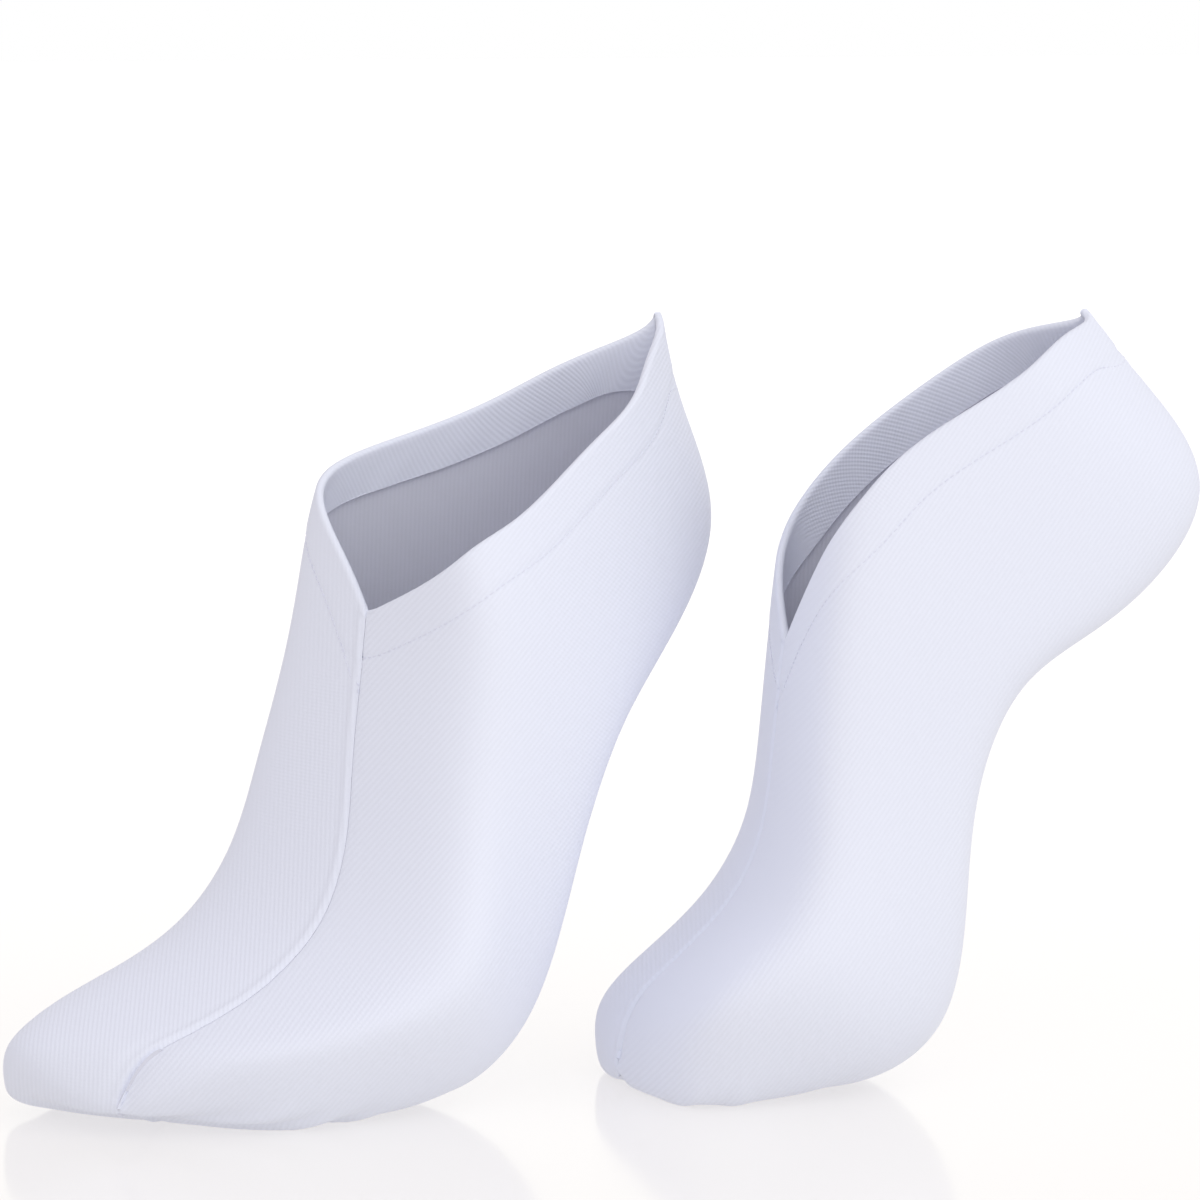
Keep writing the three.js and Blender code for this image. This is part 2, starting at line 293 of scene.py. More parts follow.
def unit(vectors):
    """Vectors of length one."""
    return vectors / np.maximum(np.linalg.norm(vectors, axis=-1, keepdims=True), 1e-9)


def dot(a, b):
    """Row by row products of two lists of vectors."""
    return (a * b).sum(-1)


def keep_side(sock, side, points, s):
    """Holds points on their own side of the seam."""
    away = own_side(sock, side)
    nearest = SEAM_GAP / 2 - np.abs(pull(sock["table"]["lean"], s))
    points[..., 0] = away * np.maximum(away * points[..., 0], nearest)
    return points


def to_world(sock, points):
    """From a sock's own frame in millimetres to the shared frame in metres."""
    turn = math.radians(sock["turn"])
    x, y, z = np.moveaxis(np.asarray(points, float), -1, 0)
    east = sock["toe"][0] + x * math.cos(turn) - y * math.sin(turn)
    north = sock["toe"][1] + x * math.sin(turn) + y * math.cos(turn)
    return np.stack([east, north, np.maximum(z, 0) + FLOOR], -1) * MM


# The opening's edge and the hem

def edge_line(sock, side, inset):
    """Rows and places of a line that runs a little below the opening's edge, from seam to seam."""
    values = sock[side + "_edge"]
    v_row = sock["v_row"]
    s = np.linspace(v_row - 0.6, LAST, EDGE_STEPS)
    edge = pull(values, (s - v_row) / (LAST - v_row) * (len(values) - 1))
    first_slope = values[1] * (len(values) - 1) / (LAST - v_row)
    edge = np.where(s < v_row, (s - v_row) * first_slope, edge)
    near = np.clip(edge, 0.004, 0.996)
    along = unit(np.gradient(face_point(sock, side, s, np.clip(edge, 0, 1)), axis=0))
    _, around_row, normal = face_frame(sock, side, s, near)
    down = unit(np.cross(normal, along))
    moved = edge + inset / np.maximum(np.abs(dot(down, around_row)), 12)
    first = int(np.argmax(moved > 0))
    last = int(np.argmax(moved >= 1)) if np.any(moved >= 1) else len(s) - 1
    start_row = np.interp(0, moved[first - 1:first + 1], s[first - 1:first + 1])
    end_row = np.interp(1, moved[last - 1:last + 1], s[last - 1:last + 1])
    return start_row, end_row, s, np.clip(moved, 0, 1)


def edge_run(sock, side, rows, places):
    """The opening's edge: its places and points, the ways down from it, and the length along it."""
    points = face_point(sock, side, rows, places)
    along = unit(np.gradient(points, axis=0))
    along_rows, around_row, normal = face_frame(sock, side, rows, places)
    down = unit(np.cross(normal, along))
    down *= np.sign(dot(down, around_row))[:, None]
    length = np.concatenate([[0], np.cumsum(np.linalg.norm(np.diff(points, axis=0), axis=1))])
    # near the seams the way down leans so that both halves of the hem meet on the seam
    seam = unit(-along_rows)
    mitre = dot(seam, along) / np.maximum(dot(seam, down), 0.3)
    at_v = np.clip(1 - length / MITRE_REACH, 0, 1)
    at_peak = np.clip(1 - (length[-1] - length) / MITRE_REACH, 0, 1)
    shift = mitre[0] * at_v + mitre[-1] * at_peak
    return {"rows": rows, "places": places, "points": points, "straight": down,
            "down": down + along * shift[:, None], "length": length}


def march(sock, side, rows, places, heading, distances):
    """Walks over the face from a run of places and returns the places at each distance."""
    s, f = rows.copy(), places.copy()
    reached, at = [], 0.0
    for distance in distances:
        steps = max(1, int(math.ceil((distance - at) / 1.0)))
        for _ in range(steps if distance > at else 0):
            along_rows, around_row, normal = face_frame(sock, side, s, f)
            ahead = heading - normal * dot(heading, normal)[:, None]
            stride = np.linalg.norm(heading, axis=1)[:, None] * (distance - at) / steps
            ahead = unit(ahead) * stride
            aa, bb = dot(along_rows, along_rows), dot(around_row, around_row)
            ab = dot(along_rows, around_row)
            pa, pb = dot(along_rows, ahead), dot(around_row, ahead)
            size = np.maximum(aa * bb - ab * ab, 1e-6)
            s = np.minimum(LAST, s + (pa * bb - pb * ab) / size)
            f = np.clip(f + (pb * aa - pa * ab) / size, 0, 1)
        at = distance
        reached.append((s.copy(), f.copy()))
    return reached


# Relief: seams, stitched lines and soft folds

def nearest_on(points, line, along):
    """Distance from each point to a line of points, and how far along the line that is."""
    flat = points.reshape(-1, 3)
    gap = np.empty(len(flat))
    where = np.empty(len(flat))
    for begin in range(0, len(flat), 4000):
        part = flat[begin:begin + 4000]
        away = np.linalg.norm(part[:, None] - line[None], axis=2)
        best = away.argmin(1)
        gap[begin:begin + 4000] = away[np.arange(len(part)), best]
        where[begin:begin + 4000] = along[best]
    return gap.reshape(points.shape[:-1]), where.reshape(points.shape[:-1])


def bell(distance, width):
    """A soft hump of height one."""
    return np.exp(-(distance / width) ** 2)


def smooth_step(low, high, value):
    """Rises softly from 0 at low to 1 at high."""
    t = np.clip((value - low) / (high - low), 0, 1)
    return t * t * (3 - 2 * t)


def lengths(line):
    """How far along a line each of its points lies."""
    return np.concatenate([[0], np.cumsum(np.linalg.norm(np.diff(line, axis=0), axis=1))])


def form(gap, shape):
    """A hump or groove beside a line, as high, as far and as wide as its shape says."""
    height, away, width = shape
    return height * bell(gap - away, width)


def waves(table, at):
    """A sum of waves along a line."""
    return sum(height * np.sin(at / length + start) for height, length, start in table)


def seam_relief(gap, at, ridged):
    """A seam's groove, the soft ridge of the cloth turned to one side of it, and its puckers."""
    relief = form(gap, SEAM_GROOVE) + waves(SEAM_WAVES, at) * form(gap, SEAM_PUCKERS)
    if ridged:
        return relief + form(gap, SEAM_RIDGE) + form(gap, BESIDE_RIDGE)
    return relief + form(gap, BESIDE_SEAM)


def toe_cleft(s):
    """How much deeper the seam sinks between the two panels near the toe."""
    return TOE_CLEFT * smooth_step(0, 0.7, s) * (1 - smooth_step(0.6, 2.6, s))


def hem_relief(gap, at, depth):
    """The hem's double cloth, the stitched line along its foot and the puckers that the stitches pull."""
    puckers = waves(HEM_WAVES, at)
    band = HEM_BAND * (1 - smooth_step(depth - 1.2, depth + 1.8, gap))
    pulled = HEM_PULL * puckers * bell(gap - depth, HEM_PULL_WIDTH)
    return band - (HEM_GROOVE + HEM_PUCKERS * puckers) * bell(gap - depth, HEM_GROOVE_WIDTH) + pulled


def crease_relief(crease, s, f):
    """One soft trough or ridge that runs straight from one place on the panel to another."""
    row, place, end_row, end_place, width, height = crease
    ahead = np.array([(end_row - row) * ROW_REACH, (end_place - place) * AROUND_REACH])
    x, y = (s - row) * ROW_REACH, (f - place) * AROUND_REACH
    run = (x * ahead[0] + y * ahead[1]) / (ahead @ ahead)
    off = (x * ahead[1] - y * ahead[0]) / np.hypot(*ahead)
    fade = smooth_step(-0.25, 0.35, run) * (1 - smooth_step(0.65, 1.25, run))
    return height * bell(off, width) * fade


def panel_relief(name, side, s, f, points, line, edge):
    """How far the cloth stands out from its face, in millimetres."""
    sock = SOCKS[name]
    start_row, end_row = line[:2]
    top_seam = face_point(sock, side, np.linspace(0, start_row, 500), 0)
    low_seam = face_point(sock, side, np.linspace(0, end_row, 800), 1)
    ridged = side == sock["ridge_side"]
    relief = np.zeros(points.shape[:-1])
    # the seam is shallow at the toe tip and where it ends at the peak
    sunk = smooth_step(0, 0.5, s) * (1 - 0.85 * smooth_step(end_row - 0.4, end_row - 0.05, s))
    for seam in (top_seam, low_seam):
        gap, at = nearest_on(points, seam, lengths(seam))
        relief += seam_relief(gap, at, ridged) * sunk
        relief -= toe_cleft(s) * bell(gap, TOE_CLEFT_WIDTH)
    stitched = bpy.context.scene.sock_sizes.hem_depth / MM - STITCHES_ABOVE_HEM_END
    relief += hem_relief(*nearest_on(points, edge["points"], edge["length"]), stitched)
    relief = np.maximum(relief, -DEEPEST - toe_cleft(s))
    for crease in CREASES[name, side]:
        relief += crease_relief(crease, s, f)
    return relief


# Meshes

def clear_selection():
    """Leaves edit mode and deselects everything."""
    if bpy.context.object and bpy.context.object.mode != "OBJECT":
        bpy.ops.object.mode_set(mode="OBJECT")
    bpy.ops.object.select_all(action="DESELECT")


def add_grid(name, points, uv, material, depth=None):
    """A grid of cloth: a primitive grid whose points are set in place.

    It has a UV map in metres, and says at each point how deep the knit's relief is, from 0 to 1.
    """
    rows, columns = points.shape[:2]
    clear_selection()
    bpy.ops.mesh.primitive_grid_add(x_subdivisions=columns - 1, y_subdivisions=rows - 1, size=1)
    piece = bpy.context.object
    piece.name = piece.data.name = name
    mesh = piece.data
    mesh.vertices.foreach_set("co", points.reshape(-1, 3).ravel())
    layer = mesh.uv_layers[0] if mesh.uv_layers else mesh.uv_layers.new(name="UVMap")
    corner = np.empty(len(mesh.loops), int)
    mesh.loops.foreach_get("vertex_index", corner)
    layer.data.foreach_set("uv", uv.reshape(-1, 2)[corner].ravel())
    knit_depth = mesh.attributes.new("knit_depth", "FLOAT", "POINT")
    depth = np.ones((rows, columns)) if depth is None else np.broadcast_to(depth, (rows, columns))
    knit_depth.data.foreach_set("value", depth.ravel().astype(np.float32))
    mesh.materials.append(material)
    mesh.update()
    return piece


def in_edit(piece, steps):
    """Runs edit-mode steps on a whole piece."""
    clear_selection()
    bpy.context.view_layer.objects.active = piece
    piece.select_set(True)
    bpy.ops.object.mode_set(mode="EDIT")
    bpy.ops.mesh.select_all(action="SELECT")
    steps()
    bpy.ops.object.mode_set(mode="OBJECT")


def apply_modifier(piece, kind, **values):
    """Adds a modifier, sets it and applies it."""
    clear_selection()
    bpy.context.view_layer.objects.active = piece
    piece.select_set(True)
    modifier = piece.modifiers.new(kind.title(), kind)
    for key, value in values.items():
        setattr(modifier, key, value)
    bpy.ops.object.modifier_apply(modifier=modifier.name)


def join_pieces(piece, other):
    """Joins another piece to a piece, and points that lie together."""
    clear_selection()
    other.select_set(True)
    piece.select_set(True)
    bpy.context.view_layer.objects.active = piece
    bpy.ops.object.join()
    in_edit(piece, lambda: bpy.ops.mesh.remove_doubles(threshold=SAME_PLACE))


def shade_smooth(piece):
    """Shades a piece smooth, apart from its sharp edges."""
    clear_selection()
    piece.select_set(True)
    bpy.ops.object.shade_smooth_by_angle(angle=SHARP)


def face_outward(piece, sock):
    """Turns a grid's faces, if need be, so that they face out of the sock, and says whether it did."""
    mesh = piece.data
    middle = mesh.polygons[len(mesh.polygons) // 2]
    centre = np.mean([[*mesh.vertices[k].co] for k in middle.vertices], axis=0)
    axis = to_world(sock, np.array([0.0, centre_back(sock, centre), INSIDE_HEIGHT]))
    inward = Vector(centre - axis).dot(middle.normal) < 0
    if inward:
        in_edit(piece, bpy.ops.mesh.flip_normals)
    return inward


def centre_back(sock, centre):
    """How far behind the toe tip a point lies, in millimetres."""
    turn = math.radians(sock["turn"])
    x, y = centre[0] / MM - sock["toe"][0], centre[1] / MM - sock["toe"][1]
    return -x * math.sin(turn) + y * math.cos(turn)


def knit_directions(sock, side):
    """The directions across the wales and along them, in the sock's own frame."""
    turn, climb = math.radians(sock["knit_way"]), math.radians(sock["wale_climb"][side])
    level = np.array([math.cos(turn), math.sin(turn), 0])
    up = np.array([0, 0, 1])
    return level * math.sin(climb) - up * math.cos(climb), level * math.cos(climb) + up * math.sin(climb)


def panel_places(sizes, line):
    """The row and the place of every point of a panel, from the opening's edge to the lower seam."""
    start_row, end_row, fine_rows, fine_edge = line
    below = np.linspace(0, start_row, sizes.rows_below_v + 1)
    above = np.linspace(start_row, end_row, sizes.rows_above_v + 1)[1:]
    rows = np.concatenate([below, above])
    start = np.where(rows > start_row, np.interp(rows, fine_rows, fine_edge), 0)
    start[-1] = 1
    even = np.linspace(0, 1, sizes.columns + 1)
    part = even - CLOSER_AT_SEAMS * np.sin(2 * np.pi * even) / (2 * np.pi)
    return np.repeat(rows[:, None], len(part), 1), start[:, None] + (1 - start[:, None]) * part


def panel_normals(sock, side, s, f, at_v):
    """Outward directions of a panel's points, which lie in the seams' plane along the seams."""
    _, _, normal = face_frame(sock, side, s, f)
    normal[:, -1, 0] = 0
    normal[:at_v + 1, 0, 0] = 0
    return unit(normal)


def hem_points(sock, side, edge, first, normal, lift):
    """The strip of cloth that turns over the opening's edge and runs down inside."""
    sizes = bpy.context.scene.sock_sizes
    fold, hem_depth = sizes.hem_fold / MM, sizes.hem_depth / MM
    centre = edge["points"] - normal * fold / 2
    strips = [first]
    for turn in np.linspace(0, np.pi, FOLD_STEPS)[1:]:
        outward = normal * math.cos(turn) - edge["straight"] * math.sin(turn)
        strips.append(centre + outward * fold / 2 + lift * (1 + math.cos(turn)) / 2)
    distances = np.linspace(0, hem_depth - fold / 2, HEM_STEPS)[1:]
    walked = march(sock, side, edge["rows"], edge["places"], edge["down"], distances)
    for at, (row, place) in zip(distances, walked):
        _, _, inward = face_frame(sock, side, row, place)
        # the cloth inside ripples a little, most at its foot
        wave = 0.1 * np.sin(edge["length"] / 3.1 + at * 0.4) * (at / hem_depth)
        strips.append(face_point(sock, side, row, place) - inward * (fold + wave)[:, None])
    return keep_side(sock, side, np.stack(strips, 1), edge["rows"][:, None])


def hem_knit(knit, hem):
    """The strip's places on the knit, which run on straight out from the panel's edge."""
    run = unit(np.gradient(knit[:, 0], axis=0))
    away = np.stack([-run[:, 1], run[:, 0]], -1)
    away *= np.sign(dot(away, knit[:, 0] - knit[:, 3]))[:, None]
    return knit[:, :1] + away[:, None] * lengths_across(hem)[..., None] * MM


def make_panel(name, side):
    """One side of a sock with its hem, as one sheet of jersey turned over at the opening's edge."""
    sock = SOCKS[name]
    sizes = bpy.context.scene.sock_sizes
    at_v = sizes.rows_below_v
    line = edge_line(sock, side, sizes.hem_fold / MM / 2)
    s, f = panel_places(sizes, line)
    points = face_point(sock, side, s, f)
    normal = panel_normals(sock, side, s, f, at_v)
    edge = edge_run(sock, side, s[at_v:, 0], f[at_v:, 0])
    raised = normal * panel_relief(name, side, s, f, points, line, edge)[..., None]
    face = points + raised
    across, along = knit_directions(sock, side)
    knit = np.stack([points @ across, points @ along], -1) * MM
    # the relief fades where the cloth is stretched open across the wales
    depth = smooth_step(0.35, 0.8, np.sqrt(1 - np.clip(normal @ across, -1, 1) ** 2))
    panel = add_grid(f"{name}_{side}_panel_cloth", to_world(sock, face), knit, material("knit"), depth)
    hem = hem_points(sock, side, edge, face[at_v:, 0], normal[at_v:, 0], raised[at_v:, 0])
    hem_uv = hem_knit(knit[at_v:], hem)
    # the strip's columns run on into the panel's, so that both turn the same way
    strip = add_grid("strip", to_world(sock, hem[:, ::-1]), hem_uv[:, ::-1], material("knit"),
                     depth[at_v:, :1])
    if face_outward(panel, sock):
        in_edit(strip, bpy.ops.mesh.flip_normals)
    join_pieces(panel, strip)
    panel.data.materials.append(material("knit_inside"))
    apply_modifier(panel, "SOLIDIFY", thickness=sizes.cloth_thickness, offset=-1, use_even_offset=False,
                   use_quality_normals=True, material_offset=1)
    shade_smooth(panel)
    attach(panel, "root")
    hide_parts(f"{name}_{side}_panel", f"{name}_{side}_hem")
    return panel


def lengths_across(grid):
    """How far across a strip each of its points lies."""
    run = np.linalg.norm(np.diff(grid, axis=1), axis=-1)
    return np.concatenate([np.zeros((len(grid), 1)), np.cumsum(run, axis=1)], axis=1)


# Seams and stitches

def stitch_template(length, thickness):
    """One stitch: a short thread, round at both ends, lying along X."""
    clear_selection()
    bpy.ops.mesh.primitive_uv_sphere_add(segments=8, ring_count=6, radius=0.5)
    template = bpy.context.object
    points = np.array([vertex.co[:] for vertex in template.data.vertices])[:, [2, 0, 1]]
    faces = [tuple(face.vertices) for face in template.data.polygons]
    bpy.data.objects.remove(template)
    ends = np.sign(points[:, 0]) * (length - thickness) / 2
    points = points * thickness
    points[:, 0] += np.where(np.abs(points[:, 0]) > 1e-6, ends, 0)
    return points, faces


def make_stitches(name, places, length, thickness):
    """A row of stitches as one piece; each place has a point, a way along and a way out, in metres."""
    template, faces = stitch_template(length, thickness)
    points, all_faces = [], []
    for point, along, out in places:
        side = np.cross(out, along)
        turned = template[:, :1] * along + template[:, 1:2] * side + template[:, 2:] * out
        all_faces += [[k + len(points) * len(template) for k in face] for face in faces]
        points.append(turned + point)
    mesh = bpy.data.meshes.new(name)
    mesh.from_pydata(np.concatenate(points).tolist(), [], all_faces)
    mesh.validate()
    piece = bpy.data.objects.new(name, mesh)
    bpy.context.collection.objects.link(piece)
    mesh.materials.append(material("thread"))
    in_edit(piece, lambda: bpy.ops.mesh.normals_make_consistent(inside=False))
    bpy.ops.object.shade_smooth()
    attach(piece, "root")
    return piece


def even_places(line, normals, pitch, first):
    """Points at an even pitch along a line, with the way along it and the way out."""
    run = lengths(line)
    along = unit(np.gradient(line, axis=0))
    for at in np.arange(first, run[-1] - first, pitch):
        point, ahead, out = ([np.interp(at, run, column) for column in values.T]
                             for values in (line, along, normals))
        yield np.array(point), unit(np.array(ahead)), unit(np.array(out))


def hem_line(sock, side, depth, outside):
    """The stitched line of a hem, on the outer face or on the hem inside, in the shared frame."""
    sizes = bpy.context.scene.sock_sizes
    fold = sizes.hem_fold / MM
    start_row, end_row, fine_rows, fine_edge = edge_line(sock, side, fold / 2)
    rows = np.linspace(start_row, end_row, sizes.rows_above_v + 1)
    places = np.interp(rows, fine_rows, fine_edge)
    edge = edge_run(sock, side, rows, places)
    row, place = march(sock, side, rows, places, edge["down"], [depth])[0]
    _, _, normal = face_frame(sock, side, row, place)
    lift = 0.0 if outside else -fold
    line = keep_side(sock, side, face_point(sock, side, row, place) + normal * lift, row)
    ahead = to_world(sock, line + normal) - to_world(sock, line)
    return to_world(sock, line), unit(ahead) * (1 if outside else -1)


def make_hem_stitches(name):
    """The stitched line along the hem of both sides of a sock, outside and inside."""
    sock = SOCKS[name]
    sizes = bpy.context.scene.sock_sizes
    depth = sizes.hem_depth / MM - STITCHES_ABOVE_HEM_END
    places = []
    for side in SIDES:
        for outside in (True, False):
            line, out = hem_line(sock, side, depth, outside)
            places += list(even_places(line, out, sizes.stitch_pitch, 0.001))
    return make_stitches(f"{name}_hem_stitches", places, sizes.stitch_length, sizes.thread)


def seam_line(sock, side, low, rows):
    """A line of places on the top seam, or on the seam below, with its outward direction."""
    line = face_point(sock, side, rows, 1.0 if low else 0.0)
    _, _, normal = face_frame(sock, side, rows, np.full(len(rows), 1.0 if low else 0.0))
    line[:, 0] = pull(sock["table"]["lean"], rows) * sock["hand"] * (-1 if low else 1)
    normal[:, 0] = 0
    return line, unit(normal)


def make_seam_stitches(name):
    """Short threads across the seams of a sock, down in the groove."""
    sock = SOCKS[name]
    sizes = bpy.context.scene.sock_sizes
    end_row = edge_line(sock, "outer", sizes.hem_fold / MM / 2)[1]
    places = []
    for low, last in ((False, sock["v_row"] - 0.08), (True, end_row - 0.45)):
        rows = np.linspace(0.6, last, 700)
        line, normal = seam_line(sock, "outer", low, rows)
        line = line - normal * (SEAM_STITCH_DEPTH + toe_cleft(rows))[:, None]
        out = unit(to_world(sock, line + normal) - to_world(sock, line))
        for point, along, outward in even_places(to_world(sock, line), out, sizes.seam_pitch, 0.001):
            places.append((point, np.cross(outward, along), outward))
    return make_stitches(f"{name}_seam_stitches", places, sizes.seam_stitch, sizes.thread)


def make_seam_allowance(name, low):
    """The two edges of cloth that lie together inside a seam."""
    sock = SOCKS[name]
    sizes = bpy.context.scene.sock_sizes
    last = sock["v_row"] - 0.6 if not low else LAST - 0.85
    rows = np.linspace(0.8, last, ALLOWANCE_ROWS)
    depth = sizes.cloth_thickness / MM + ALLOWANCE_BELOW_CLOTH + toe_cleft(rows)
    half = sizes.seam_allowance / MM
    columns = np.linspace(-half, half, ALLOWANCE_COLUMNS)
    strips = []
    for across in columns:
        side = "outer" if across >= 0 else "inner"
        _, around_row, _ = face_frame(sock, side, rows, np.full(len(rows), 1.0 if low else 0.0))
        step = abs(across) / np.maximum(np.linalg.norm(around_row, axis=1), 20)
        place = 1 - step if low else step
        _, _, normal = face_frame(sock, side, rows, place)
        if across == 0:
            normal[:, 0] = 0
        strips.append(face_point(sock, side, rows, place) - unit(normal) * depth[:, None])
    points = np.stack(strips, 1)
    middle = points[:, ALLOWANCE_COLUMNS // 2]
    uv = np.stack(np.meshgrid(columns, lengths(middle)), -1) * MM
    where = "lower" if low else "top"
    piece = add_grid(f"{name}_{where}_seam_allowance", to_world(sock, points), uv, material("knit_inside"))
    face_outward(piece, sock)
    apply_modifier(piece, "SOLIDIFY", thickness=sizes.cloth_thickness, offset=-1)
    shade_smooth(piece)
    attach(piece, "root")
    return piece


# Materials

def new_material(name, colour, roughness):
    """A material with a principled shader; returns it with its nodes and links."""
    made = bpy.data.materials.new(name)
    made.use_nodes = True
    shader = made.node_tree.nodes["Principled BSDF"]
    shader.inputs["Base Color"].default_value = (*colour, 1)
    shader.inputs["Roughness"].default_value = roughness
    return made, made.node_tree, shader


def add_node(tree, kind, **values):
    """Adds a node and sets its properties and inputs."""
    node = tree.nodes.new(kind)
    for key, value in values.items():
        if key in node.inputs:
            node.inputs[key].default_value = value
        else:
            setattr(node, key, value)
    return node


def knit_material(name, colour, roughness, height):
    """Fine jersey: wales and courses in low relief, with a soft sheen and painted shade in the furrows."""
    sizes = bpy.context.scene.sock_sizes
    made, tree, shader = new_material(name, colour, roughness)
    shader.inputs["Sheen Weight"].default_value = 0.2
    shader.inputs["Sheen Roughness"].default_value = 0.4
    uv = add_node(tree, "ShaderNodeUVMap", uv_map="UVMap")
    scale = tree.nodes.new("ShaderNodeMapping")
    scale.inputs["Scale"].default_value = (1 / sizes.wale_pitch, 1 / sizes.course_pitch, 1)
    tree.links.new(uv.outputs["UV"], scale.inputs["Vector"])
    split = tree.nodes.new("ShaderNodeSeparateXYZ")
    tree.links.new(scale.outputs["Vector"], split.inputs["Vector"])

    def maths(operation, first, second=None):
        node = add_node(tree, "ShaderNodeMath", operation=operation)
        for socket, value in zip(node.inputs, (first, second)):
            if isinstance(value, (int, float)):
                socket.default_value = value
            elif value is not None:
                tree.links.new(value, socket)
        return node.outputs[0]

    turn = 2 * math.pi
    wale = maths("COSINE", maths("MULTIPLY", split.outputs["X"], turn))
    course = maths("COSINE", maths("MULTIPLY", split.outputs["Y"], turn))
    loops = maths("ADD", maths("MULTIPLY", wale, WALE_SHARE), maths("MULTIPLY", course, COURSE_SHARE))
    bump = add_node(tree, "ShaderNodeBump")
    bump.inputs["Strength"].default_value = 1
    bump.inputs["Distance"].default_value = height
    depth = add_node(tree, "ShaderNodeAttribute", attribute_name="knit_depth").outputs["Fac"]
    tree.links.new(maths("MULTIPLY", loops, depth), bump.inputs["Height"])
    tree.links.new(bump.outputs["Normal"], shader.inputs["Normal"])
    # painted shade: the furrows between the wales are painted a little darker, following the wale relief
    furrow_shade = add_node(tree, "ShaderNodeMix", data_type="RGBA")
    furrow_shade.inputs["A"].default_value = (*[c * FURROW_PAINTED_SHADE for c in colour], 1)
    furrow_shade.inputs["B"].default_value = (*colour, 1)
    furrow_shade_factor = maths("ADD", maths("MULTIPLY", maths("MULTIPLY", wale, depth), 0.5), 0.5)
    tree.links.new(furrow_shade_factor, furrow_shade.inputs["Factor"])
    tree.links.new(furrow_shade.outputs["Result"], shader.inputs["Base Color"])
    return made


def thread_material(name, colour):
    """Sewing thread: fine twisted strands, a little glossier than the cloth."""
    _, tree, shader = new_material(name, colour, 0.55)
    shader.inputs["Sheen Weight"].default_value = 0.2
    place = tree.nodes.new("ShaderNodeTexCoord")
    twist = add_node(tree, "ShaderNodeTexWave", wave_type="BANDS", bands_direction="DIAGONAL",
                     Scale=1400.0)
    tree.links.new(place.outputs["Object"], twist.inputs["Vector"])
    bump = add_node(tree, "ShaderNodeBump", Strength=0.6, Distance=0.00005)
    tree.links.new(twist.outputs["Fac"], bump.inputs["Height"])
    tree.links.new(bump.outputs["Normal"], shader.inputs["Normal"])


def make_materials():
    """All materials, by the names of their slots."""
    sizes, colours = bpy.context.scene.sock_sizes, bpy.context.scene.sock_colours
    knit_material("knit", tuple(colours.jersey), 0.7, sizes.wale_height)
    knit_material("knit_inside", tuple(colours.jersey_inside), 0.85, sizes.wale_height * 0.6)
    thread_material("thread", tuple(colours.thread))


def material(name):
    """A finished material by name."""
    return bpy.data.materials[name]


# Settings

def length_setting(name, description, default):
    """A length that a user may change."""
    return bpy.props.FloatProperty(name=name, description=description, default=default, min=0,
                                   precision=5, subtype="DISTANCE", unit="LENGTH")


def angle_setting(name, description, default):
    """An angle that a user may change, in radians."""
    return bpy.props.FloatProperty(name=name, description=description, default=default,
                                   subtype="ANGLE", unit="ROTATION")


def strength_setting(name, description, default):
    """A number without a unit that a user may change."""
    return bpy.props.FloatProperty(name=name, description=description, default=default, min=0)


def count_setting(name, description, default):
    """A count that a user may change."""
    return bpy.props.IntProperty(name=name, description=description, default=default, min=12)


def place_setting(name, description, default):
    """A point in the shared frame that a user may change."""
    return bpy.props.FloatVectorProperty(name=name, description=description, default=default,
                                         subtype="XYZ", unit="LENGTH")


def colour_setting(name, description, default):
    """A colour that a user may change."""
    return bpy.props.FloatVectorProperty(name=name, description=description, default=default, min=0,
                                         max=1, size=3, subtype="COLOR")


class SockSizes(bpy.types.PropertyGroup):
    """Sizes of the cloth and its sewing."""

    cloth_thickness: length_setting("Cloth thickness", "Thickness of the stretched jersey", 0.0009)
    hem_fold: length_setting("Hem fold", "Thickness of the folded edge at the opening", 0.0021)
    hem_depth: length_setting("Hem depth", "Depth of the hem turned under at the opening", 0.0125)
    stitch_pitch: length_setting("Stitch pitch", "From one hem stitch to the next", 0.0019)
    stitch_length: length_setting("Stitch length", "Length of one hem stitch", 0.0012)
    thread: length_setting("Thread", "Thickness of the sewing thread", 0.00024)
    seam_pitch: length_setting("Seam stitch pitch", "From one thread across a seam to the next", 0.0021)
    seam_stitch: length_setting("Seam stitch", "Length of one thread across a seam", 0.0007)
    seam_allowance: length_setting("Seam allowance", "Width of cloth inside a seam, on each side", 0.0051)
    wale_pitch: length_setting("Wale pitch", "From one knit wale to the next", 0.00115)
    course_pitch: length_setting("Course pitch", "From one knit course to the next", 0.0009)
    wale_height: length_setting("Wale height", "Relief of the knit wales", 0.00006)
    rows_below_v: count_setting("Rows below the V", "Rows of the panel below the V", 172)
    rows_above_v: count_setting("Rows above the V", "Rows of the panel above the V", 124)
    columns: count_setting("Columns", "Columns of the panel", 94)


class SockColours(bpy.types.PropertyGroup):
    """Colours of the cloth, the thread and the floor."""

    jersey: colour_setting("Jersey", "Outer face of the jersey", (0.845, 0.872, 0.982))
    jersey_inside: colour_setting("Jersey inside", "Inner face of the jersey", (0.72, 0.73, 0.82))
    thread: colour_setting("Thread", "Sewing thread", (0.8, 0.81, 0.92))
    floor: colour_setting("Floor", "Studio floor", (0.4, 0.395, 0.39))


